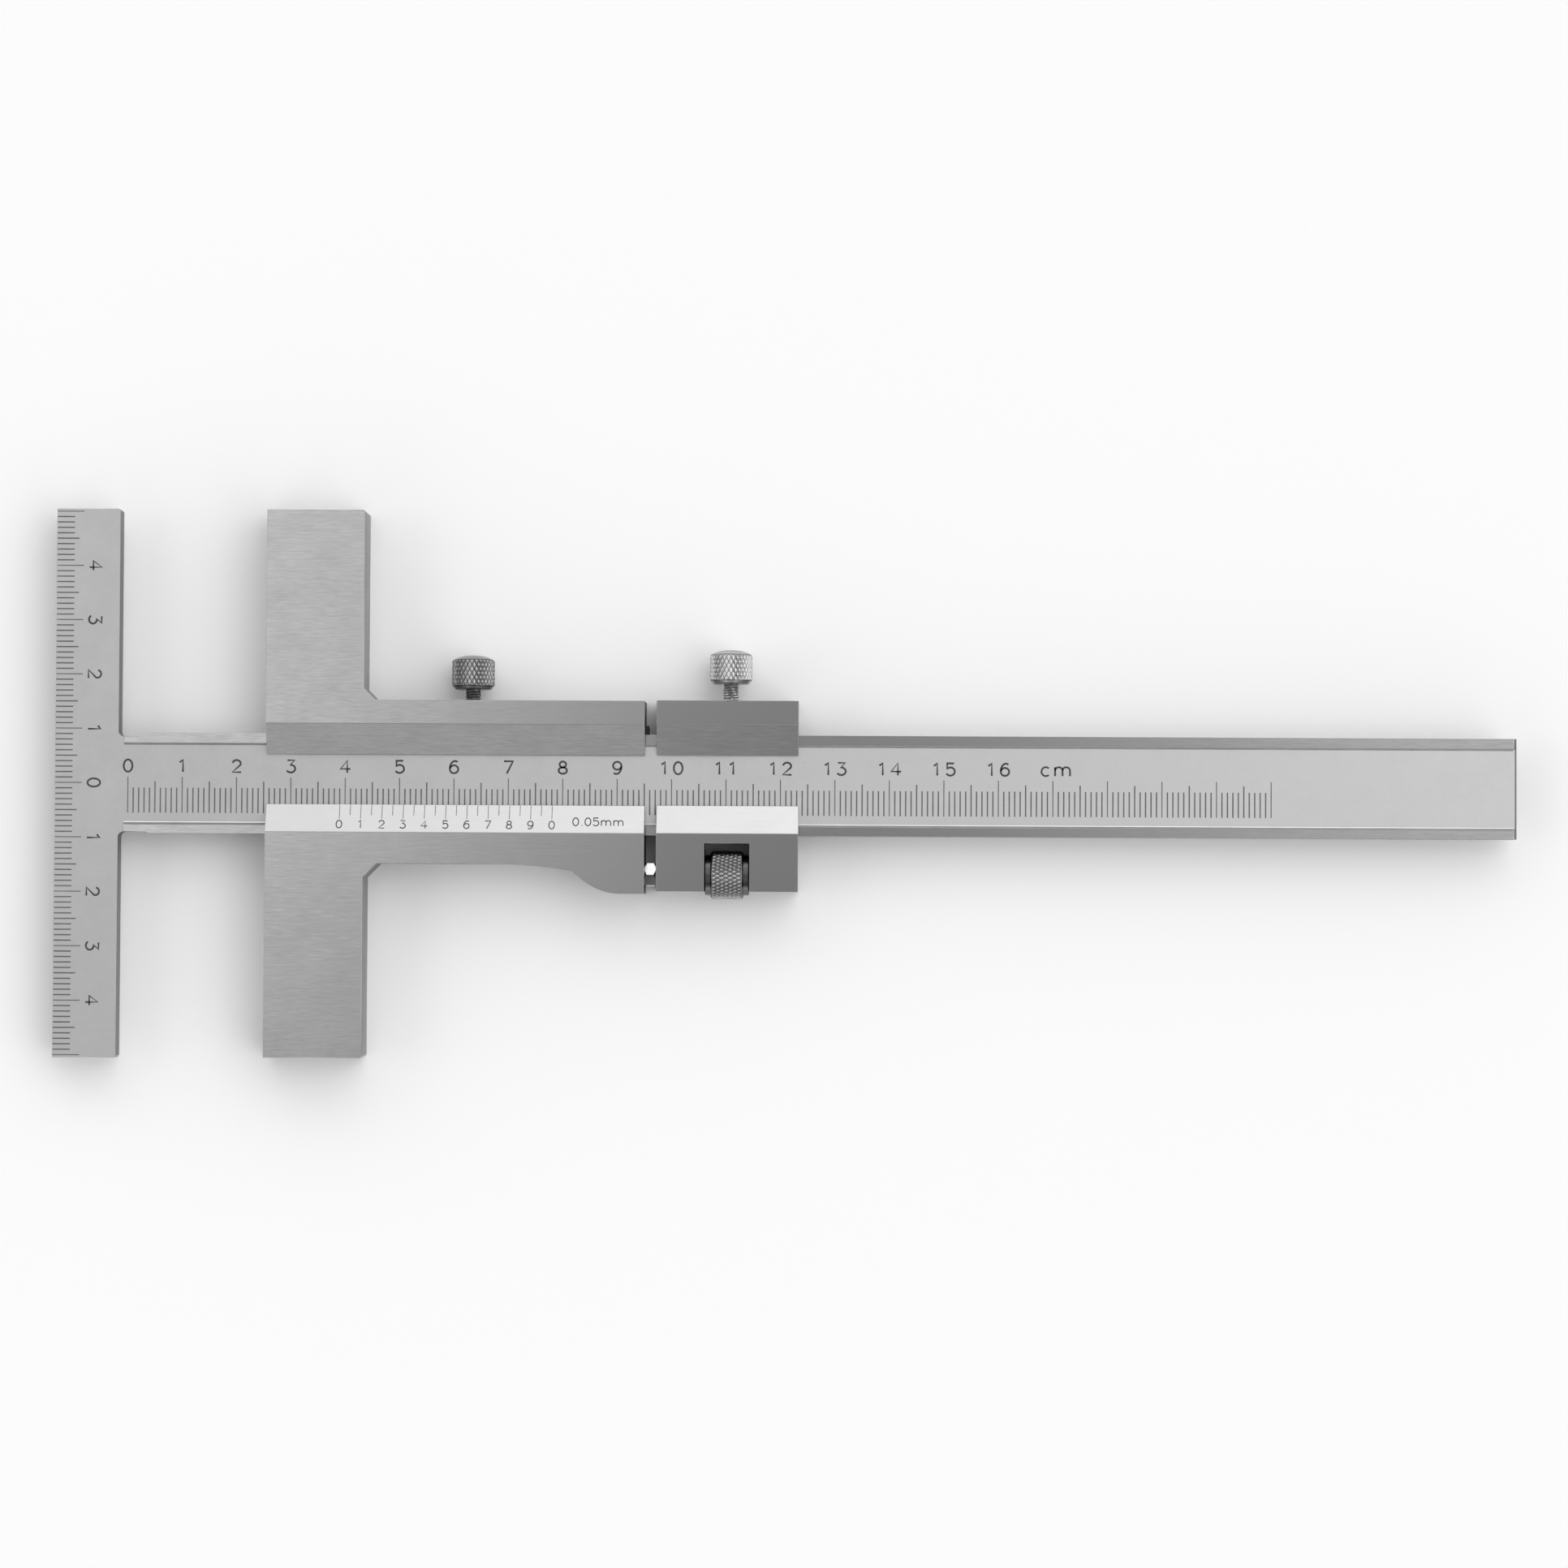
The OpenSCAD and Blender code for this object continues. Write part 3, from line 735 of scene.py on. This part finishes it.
lock_screw("slider_lock_screw", "slider_clamp_screw", "slider_screw", slider_screw_steel, 0)
lock_screw("block_lock_screw", "block_clamp_screw", "block_screw", block_screw_steel, 1)

# %% [markdown]
# ### The fine-adjustment nut and its spindle
# The nut is knurled between two smooth collars, and its bore rides on the spindle's thread. The
# spindle is held in the slider by a cross pin. Where it leaves the slider it has a short hexagon
# for a wrench, whose facets show bright and dark in the gap. From there it is plain, and threaded
# through the block. A hexagon is a circle whose radius is no more than the flats allow: half the
# distance across the flats, over the cosine of the turn within one facet.

# %% Nut
NUT_RADIUS = 4.45
NUT_CHAMFER = 0.4
NUT_DIAMONDS = 37
COLLAR_RADIUS = 3.7
COLLAR_LONG = 1.05
COLLAR_CHAMFER = 0.15
# How far the collars and the nut's ends are darkened with painted shade.
COLLAR_SHADE = 0.9
SPINDLE_THREAD_RADIUS = 1.95
BORE_CLEARANCE = 0.05


def make_nut():
    """A closed ring: the profile goes round the outside of the nut and back through its bore."""
    low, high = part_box("knurled_nut")
    centre = (low.x / MM, (low.y + high.y) / 2 / MM, (low.z + high.z) / 2 / MM)
    end = (high.x - low.x) / MM
    bore = SPINDLE_THREAD_RADIUS + BORE_CLEARANCE
    first, last = COLLAR_LONG, end - COLLAR_LONG
    corners = [
        (0, bore), (0, COLLAR_RADIUS - COLLAR_CHAMFER), (COLLAR_CHAMFER, COLLAR_RADIUS),
        (first, COLLAR_RADIUS), (first, NUT_RADIUS - NUT_CHAMFER),
        (first + NUT_CHAMFER, NUT_RADIUS), (last - NUT_CHAMFER, NUT_RADIUS),
        (last, NUT_RADIUS - NUT_CHAMFER), (last, COLLAR_RADIUS),
        (end - COLLAR_CHAMFER, COLLAR_RADIUS), (end, COLLAR_RADIUS - COLLAR_CHAMFER),
        (end, bore), (0, bore),
    ]

    def cut(turn, along, radius):
        grooves = KNURL_DEPTH * knurl(turn, along, NUT_DIAMONDS, DIAMOND_TALL)
        diamonds = NUT_RADIUS - HAIR - grooves
        between = (along > first - HAIR) & (along < last + HAIR)
        on_barrel = (radius > COLLAR_RADIUS + HAIR) & between
        return np.where(on_barrel, np.minimum(radius, diamonds), radius)

    # Painted shade: deeper into the knurl's grooves, and mostly dark on the collars and the ends.
    def depth(along, radius):
        in_knurl = (NUT_RADIUS - radius) / KNURL_DEPTH
        return np.where(radius > COLLAR_RADIUS + HAIR, in_knurl, COLLAR_SHADE)

    piece = turned_piece("fine_adjusting_nut", corners, SIDES_A_DIAMOND * NUT_DIAMONDS, cut, depth,
                         centre, "X", nut_steel, "nut")
    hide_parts("knurled_nut")


make_nut()

# %% Spindle
SPINDLE_SIDES = 72
SPINDLE_RADIUS = 2.45
SPINDLE_CHAMFER = 0.2
SPINDLE_PLAIN_END = 115.6
PLAIN_CHAMFER, END_CHAMFER = 0.3, 0.4
# Where the painted shade in the thread begins, past the plain stem.
THREAD_SHADED_FROM = 0.05
# The hexagon, the short groove in front of it and the neck behind it.
HEX_FROM, HEX_TO = 108.62, 110.72
HEX_FLATS = 4.3
HEX_CHAMFER_LONG, HEX_CHAMFER_DEEP = 0.35, 0.25
GROOVE_LONG = 0.2
NECK_LONG, NECK_DEEP = 0.15, 0.35


def make_spindle():
    """A plain stem with a hexagon, and a thinner threaded one, with a chamfer at each change. The
    hexagon's chamfers cut its corners into arcs, because the radius there is the smaller of the
    profile's and the hexagon's."""
    low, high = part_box("fine_spindle")
    centre = (low.x / MM, (low.y + high.y) / 2 / MM, (low.z + high.z) / 2 / MM)
    end = (high.x - low.x) / MM
    plain, hex_from, hex_to = np.array([SPINDLE_PLAIN_END, HEX_FROM, HEX_TO]) - low.x / MM
    neck, shoulder = SPINDLE_RADIUS - NECK_DEEP, SPINDLE_RADIUS - HEX_CHAMFER_DEEP
    groove_from, neck_to = hex_from - GROOVE_LONG, hex_to + NECK_LONG
    corners = [
        (0, 0), (0, SPINDLE_RADIUS - SPINDLE_CHAMFER), (SPINDLE_CHAMFER, SPINDLE_RADIUS),
        (groove_from, SPINDLE_RADIUS), (groove_from, shoulder), (hex_from, shoulder),
        (hex_from + HEX_CHAMFER_LONG, SPINDLE_RADIUS), (hex_to - HEX_CHAMFER_LONG, SPINDLE_RADIUS),
        (hex_to, shoulder), (hex_to, neck), (neck_to, neck), (neck_to, SPINDLE_RADIUS),
        (plain - PLAIN_CHAMFER, SPINDLE_RADIUS), (plain, SPINDLE_RADIUS - PLAIN_CHAMFER),
        (plain, SPINDLE_THREAD_RADIUS), (end - END_CHAMFER, SPINDLE_THREAD_RADIUS),
        (end, SPINDLE_THREAD_RADIUS - END_CHAMFER), (end, 0),
    ]

    def cut(turn, along, radius):
        threads = SPINDLE_THREAD_RADIUS - THREAD_DEPTH * thread(turn, along, PITCH)
        within = (6 * turn + 0.5) % 1 - 0.5
        flats = HEX_FLATS / 2 / np.cos(within * np.pi / 3)
        on_thread = along > plain + HAIR
        on_hexagon = (along > hex_from - HAIR) & (along < hex_to + HAIR)
        return np.minimum(radius, np.select([on_thread, on_hexagon], [threads, flats], radius))

    # Painted shade: deeper into the thread's groove, and none on the plain stem.
    def depth(along, radius):
        in_thread = (SPINDLE_THREAD_RADIUS - radius) / THREAD_DEPTH
        return np.where(along > plain + THREAD_SHADED_FROM, in_thread, 0)

    piece = turned_piece("fine_adjusting_spindle", corners, SPINDLE_SIDES, cut, depth, centre, "X",
                         spindle_steel, "slider")
    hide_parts("fine_spindle")


make_spindle()

# %% [markdown]
# ## The graduations
# The lines and numbers are engraved with a single-stroke cutter and filled with black. They could
# be cut out of the faces with booleans, but three hundred cuts would tear a large flat face into
# slivers. Instead each line is a thin strip of black filling, sunk into the steel, whose top
# stands about a hundredth of a millimetre above it, as real filling may.

# %% Black filling
PAINT_GRAIN = (1500, 1500, 1500)
PAINT_DARK, PAINT_RUBBED = 0.6, 1.5
PAINT_ROUGH = (0.5, 0.75)
PAINT_SHINE = 0.3


def filling(name, tone):
    """Matt black paint in an engraved line, a little uneven, and greyer where it is rubbed."""
    material = bpy.data.materials.new(name)
    material.use_nodes = True
    tree = material.node_tree
    shader = tree.nodes["Principled BSDF"]
    texture = tree.nodes.new("ShaderNodeGroup")
    texture.node_tree = grain_group
    texture.inputs["Stretch"].default_value = PAINT_GRAIN
    texture.inputs["Clouds"].default_value = 1.0
    colour = mixed_colour(tree, texture.outputs["Tone"], tone * PAINT_DARK, tone * PAINT_RUBBED)
    tree.links.new(colour, shader.inputs["Base Color"])
    rough = swing(tree, texture.outputs["Gloss"], *PAINT_ROUGH)
    tree.links.new(rough, shader.inputs["Roughness"])
    shader.inputs["Specular IOR Level"].default_value = PAINT_SHINE
    return material


line_filling = filling("line_filling", 0.12)
number_filling = filling("number_filling", 0.06)
print("made", line_filling.name, "and", number_filling.name)

# %% Helper: a face to mark


class MarkedFace:
    """A flat face that carries marks. Positions on it are (right, up) in mm, and the third number
    is the height out of the face."""

    def __init__(self, origin, right, up):
        self.origin, self.right, self.up = (np.array(v, float) for v in (origin, right, up))
        out = np.cross(self.right, self.up)
        self.out = out / np.linalg.norm(out)
        self.points, self.faces, self.count = [], [], 0

    def add(self, places, faces):
        """Takes points as (right, up, out) and faces as corner numbers."""
        places = np.asarray(places, float).reshape(-1, 3)
        self.points.append(self.origin + places @ np.array([self.right, self.up, self.out]))
        self.faces.append(np.asarray(faces) + self.count)
        self.count += len(places)

    def make(self, name, material, body):
        """Joins everything that was added into one piece."""
        points, faces = np.concatenate(self.points) * MM, np.concatenate(self.faces)
        new_piece(name, points, faces, material, body, smooth=False)
        self.points, self.faces, self.count = [], [], 0


print("a face to mark is ready")

# %% Helpers: lines and strokes
# How deep a mark goes into the face and how far it stands out of it, and the least that a stroke's
# sideways step is divided by, which keeps sharp corners short.
SUNK, PROUD = -0.05, 0.008
SHARPEST_TURN = 0.35
BOX_CORNERS = np.array([[x, y, z] for z in (0, 1) for y in (0, 1) for x in (0, 1)])
BOX_FACES = np.array([[0, 2, 3, 1], [4, 5, 7, 6], [0, 1, 5, 4],
                      [2, 6, 7, 3], [0, 4, 6, 2], [1, 3, 7, 5]])


def add_lines(face, at, low, high, width):
    """Straight lines along the up direction: a box for each, from its low to its high end. Corner
    numbers are the box's own plus eight times the line's."""
    at, low, high, width = np.broadcast_arrays(at, low, high, width)
    start = np.stack([at - width / 2, low, np.full(len(at), SUNK)], -1)
    size = np.stack([width, high - low, np.full(len(at), PROUD - SUNK)], -1)
    places = start[:, None, :] + size[:, None, :] * BOX_CORNERS
    face.add(places, (8 * np.arange(len(at))[:, None, None] + BOX_FACES).reshape(-1, 4))
    print(f"{len(at)} lines")


def add_stroke(face, path, width):
    """A ribbon along a path. Each point moves sideways by half the width along the mean of its two
    sides' normals, made longer by one over its length squared so that the width stays the same."""
    path = np.asarray(path, float)
    closed = np.allclose(path[0], path[-1])
    if closed:
        path = path[:-1]
    ahead = np.roll(path, -1, 0) - path
    ahead /= np.linalg.norm(ahead, axis=1)[:, None]
    behind = np.roll(ahead, 1, 0)
    if not closed:
        ahead[-1], behind[0] = behind[-1], ahead[0]
    side = (ahead + behind) @ np.array([[0, 1], [-1, 0]]) / 2
    side /= np.maximum((side * side).sum(1), SHARPEST_TURN)[:, None]
    left, right = path + side * width / 2, path - side * width / 2
    rows = [np.column_stack([edge, np.full(len(path), height)])
            for edge, height in ((left, SUNK), (right, SUNK), (right, PROUD), (left, PROUD))]
    places = np.stack(rows, 1)
    count = len(path)
    here = np.arange(count if closed else count - 1)
    following = (here + 1) % count
    ring = np.arange(4)
    onward = (ring + 1) % 4
    quads = np.stack([4 * here[:, None] + ring, 4 * here[:, None] + onward,
                      4 * following[:, None] + onward, 4 * following[:, None] + ring], -1)
    quads = quads.reshape(-1, 4)
    if not closed:
        last = 4 * (count - 1)
        quads = np.concatenate([quads, [[3, 2, 1, 0], [last, last + 1, last + 2, last + 3]]])
    face.add(places, quads)


print("helpers for the marks are ready")

# %% [markdown]
# ### The engraver's numbers
# An engraving machine follows each number with one round cutter, so the numbers are single
# strokes of even width. Each is written here as straight runs and arcs of ellipses, on a grid that
# is 21 units high.

# %% Numbers
GLYPH_TALL, GLYPH_MIDDLE = 21, 10
ARC_STEP, FEWEST_STEPS = 15, 3


def arc(x, y, wide, tall, start, stop):
    """Points on an ellipse: the centre plus the half width times the cosine and the half height
    times the sine, for angles in degrees from start to stop."""
    steps = max(int(abs(stop - start) / ARC_STEP), FEWEST_STEPS)
    angle = np.radians(np.linspace(start, stop, steps + 1))
    return np.column_stack([x + wide * np.cos(angle), y + tall * np.sin(angle)])


def run(*numbers):
    """Straight runs between points."""
    return np.array(numbers, float).reshape(-1, 2)


six = [arc(10, 6.8, 6.5, 6.8, 180, 540), np.vstack([arc(11.5, 8, 8, 13, 180, 60)])]
GLYPHS = {
    "0": [arc(10, 10.5, 6.8, 10.5, 90, 450)],
    "1": [run(5.5, 17, 8, 18, 11, 21, 11, 0)],
    "2": [np.vstack([arc(10, 15, 6.3, 6, 172, -28), run(3.3, 0, 17, 0)])],
    "3": [np.vstack([run(4.5, 21, 15.5, 21, 9, 13), arc(9.6, 6.5, 7, 6.5, 80, -152)])],
    "4": [run(13, 0, 13, 21, 2.5, 6.5, 18, 6.5)],
    "5": [np.vstack([run(15.5, 21, 5, 21), arc(9.8, 7, 7, 7, 138, -150)])],
    "6": six,
    "7": [run(3, 21, 17, 21, 7.5, 0)],
    "8": [arc(10, 16, 5, 5, 90, 450), arc(10, 5.5, 6.5, 5.5, 90, 450)],
    "9": [np.array([20, 21]) - stroke for stroke in six],
    ".": [run(10, -0.6, 10, 1.6)],
    "c": [arc(10, 7, 6.5, 7, 48, 312)],
    "m": [run(-1, 14, -1, 0), np.vstack([arc(4.5, 8.5, 5.5, 5.5, 180, 0), run(10, 0)]),
          np.vstack([arc(15.5, 8.5, 5.5, 5.5, 180, 0), run(21, 0)])],
}


def add_number(face, text, at, low, tall, width, stretch=1.0):
    """Strokes of one character, centred on at. Low and tall are those of the inked shape, so half
    a stroke is taken off at each end."""
    scale = (tall - width) / GLYPH_TALL
    for stroke in GLYPHS[text]:
        place = (stroke - [GLYPH_MIDDLE, 0]) * [scale * stretch, scale] + [at, low + width / 2]
        add_stroke(face, place, width)


print("characters:", " ".join(GLYPHS))

# %% [markdown]
# ### The main scale
# It has a line for each millimetre from 0 to 210. Lines at whole centimetres are the longest and
# those at half centimetres are between. Numbers stand above the centimetres up to 16.

# %% Main scale
SCALE_START = 13.5
LINES_LOW, CENTIMETRE_TOP, HALF_TOP, MILLIMETRE_TOP = -5.5, 1.1, 0.3, -0.88
BOLD, THIN = 0.24, 0.18
NUMBER_LOW, NUMBER_TALL, NUMBER_STROKE, NUMBER_STRETCH = 1.84, 2.6, 0.36, 1.1
UNIT_TALL, UNIT_STROKE, UNIT_STRETCH = 2.8, 0.34, 1.06
# How far the two digits of a number stand beside its line, and the unit's letters and places.
TWO_DIGITS = (-1.35, 1.2)
UNIT = (("c", 182.2), ("m", 185.26))
scale_face = MarkedFace((0, 0, SCALE_FACE_HEIGHT), (1, 0, 0), (0, 1, 0))
millimetres = np.arange(211)
line_tops = np.select([millimetres % 10 == 0, millimetres % 5 == 0],
                      [CENTIMETRE_TOP, HALF_TOP], MILLIMETRE_TOP)
line_widths = np.where(millimetres % 10 == 0, THIN, BOLD)
add_lines(scale_face, SCALE_START + millimetres, LINES_LOW, line_tops, line_widths)
scale_face.make("main_scale_lines", line_filling, "beam")
for centimetre in range(17):
    text = str(centimetre)
    shifts = (0,) if len(text) == 1 else TWO_DIGITS
    for character, shift in zip(text, shifts):
        at = SCALE_START + 10 * centimetre + shift
        add_number(scale_face, character, at, NUMBER_LOW, NUMBER_TALL, NUMBER_STROKE,
                   NUMBER_STRETCH)
for character, at in UNIT:
    add_number(scale_face, character, at, NUMBER_LOW, UNIT_TALL, UNIT_STROKE, UNIT_STRETCH)
scale_face.make("main_scale_numbers", number_filling, "beam")

# %% [markdown]
# ### Beside the guide lands
# Each land's inner edge is painted darker, as shade, and the upper land has a thin line of painted
# shade at its foot, in the corner where it rises from the scale face. The corner under the lower
# land's edge is a small slope that faces the bright wall behind, so it shines as a fine white line.

# %% Corners of the lands
LAND_INNER = 7.25
LAND_HEIGHT = 2.0
LANDS_FROM = 12.75
SHORT_OF_END = 0.65
LANDS_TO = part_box("beam_rule")[1].x / MM - SHORT_OF_END
# The widths of the painted shade at the upper land's foot and on the lands' inner edges.
FOOT_SHADE_WIDE = 0.26
LAND_SHADE_WIDE = np.array([0.18, 0.42])
CORNER_RISE = LAND_HEIGHT - SCALE_FACE_HEIGHT
foot_shade_face = MarkedFace((0, 0, SCALE_FACE_HEIGHT), (0, -1, 0), (1, 0, 0))
add_lines(foot_shade_face, np.array([FOOT_SHADE_WIDE / 2 - LAND_INNER]), LANDS_FROM, LANDS_TO, FOOT_SHADE_WIDE)
foot_shade_face.make("painted_shade_at_the_upper_land", corner_shade_steel, "beam")
land_face = MarkedFace((0, 0, LAND_HEIGHT), (0, -1, 0), (1, 0, 0))
land_shade_at = np.array([-1, 1]) * (LAND_INNER + LAND_SHADE_WIDE / 2)
add_lines(land_face, land_shade_at, LANDS_FROM, LANDS_TO, LAND_SHADE_WIDE)
land_face.make("painted_shade_on_land_edges", corner_shade_steel, "beam")
halfway = (0, CORNER_RISE / 2 - LAND_INNER, (LAND_HEIGHT + SCALE_FACE_HEIGHT) / 2)
corner_face = MarkedFace(halfway, (0, -math.sqrt(0.5), math.sqrt(0.5)), (1, 0, 0))
add_lines(corner_face, np.array([0.0]), LANDS_FROM, LANDS_TO, CORNER_RISE * math.sqrt(2))
corner_face.make("corner_at_the_lower_land", satin_chrome, "beam")

# %% [markdown]
# ### The scale on the crossbar
# It counts outwards from the middle of the beam, and its numbers are turned a quarter to the
# right, so that they read with the beam upright.

# %% Crossbar scale
# The tops are those of the lines at whole centimetres, at half centimetres and between.
CROSS_LOW, CROSS_TOPS = 0.12, (5.0, 4.13, 3.28)
CROSS_NUMBER_LOW, CROSS_NUMBER_TALL = 5.87, 2.69
cross_face = MarkedFace((0, 0, SCALE_FACE_HEIGHT), (0, -1, 0), (1, 0, 0))
steps = np.arange(-50, 51)
line_ends = np.select([steps % 10 == 0, steps % 5 == 0], CROSS_TOPS[:2], CROSS_TOPS[2])
add_lines(cross_face, steps, CROSS_LOW, line_ends, np.where(steps % 10 == 0, THIN, BOLD))
cross_face.make("crossbar_lines", line_filling, "beam")
for centimetre in range(-4, 5):
    add_number(cross_face, str(abs(centimetre)), 10 * centimetre, CROSS_NUMBER_LOW,
               CROSS_NUMBER_TALL, NUMBER_STROKE)
cross_face.make("crossbar_numbers", number_filling, "beam")

# %% [markdown]
# ### The vernier
# Its twenty steps are 1.95 mm each, so that just one of its lines meets a line of the main scale
# at each twentieth of a millimetre. The lines lie on the slider's lower bevel, which slopes down to
# the beam, so that they almost touch the main scale.

# %% Vernier scale
VERNIER_START = 52.65
VERNIER_STEP = 1.95
LIP, LIP_HEIGHT = -3.8, 2.4
CREST, CREST_HEIGHT = -8.9, 4.5
EVEN_FOOT, ODD_FOOT, FROM_LIP, VERNIER_LINE = -6.43, -5.8, 0.1, 0.12
TENTH_LOW, TENTH_TALL = -8.26, 1.6
READING_LOW, READING_TALL = -7.65, 1.64
SMALL_STROKE, SMALL_STRETCH = 0.2, 1.12
# The reading "0.05mm": each character and its place along the beam.
READING = (("0", 96.04), (".", 97.23), ("0", 98.28), ("5", 99.75), ("m", 101.61), ("m", 103.87))
slope = (CREST_HEIGHT - LIP_HEIGHT) / (CREST - LIP)
bevel_face = MarkedFace((0, 0, LIP_HEIGHT - slope * LIP), (1, 0, 0), (0, 1, slope))
twentieths = np.arange(21)
line_feet = np.where(twentieths % 2 == 0, EVEN_FOOT, ODD_FOOT)
line_places = VERNIER_START + VERNIER_STEP * twentieths
add_lines(bevel_face, line_places, line_feet, LIP - FROM_LIP, VERNIER_LINE)
bevel_face.make("vernier_lines", line_filling, "slider")
for tenth in range(11):
    at = VERNIER_START + 2 * VERNIER_STEP * tenth
    add_number(bevel_face, str(tenth % 10), at, TENTH_LOW, TENTH_TALL, SMALL_STROKE, SMALL_STRETCH)
for character, at in READING:
    add_number(bevel_face, character, at, READING_LOW, READING_TALL, SMALL_STROKE, SMALL_STRETCH)
bevel_face.make("vernier_numbers", number_filling, "slider")
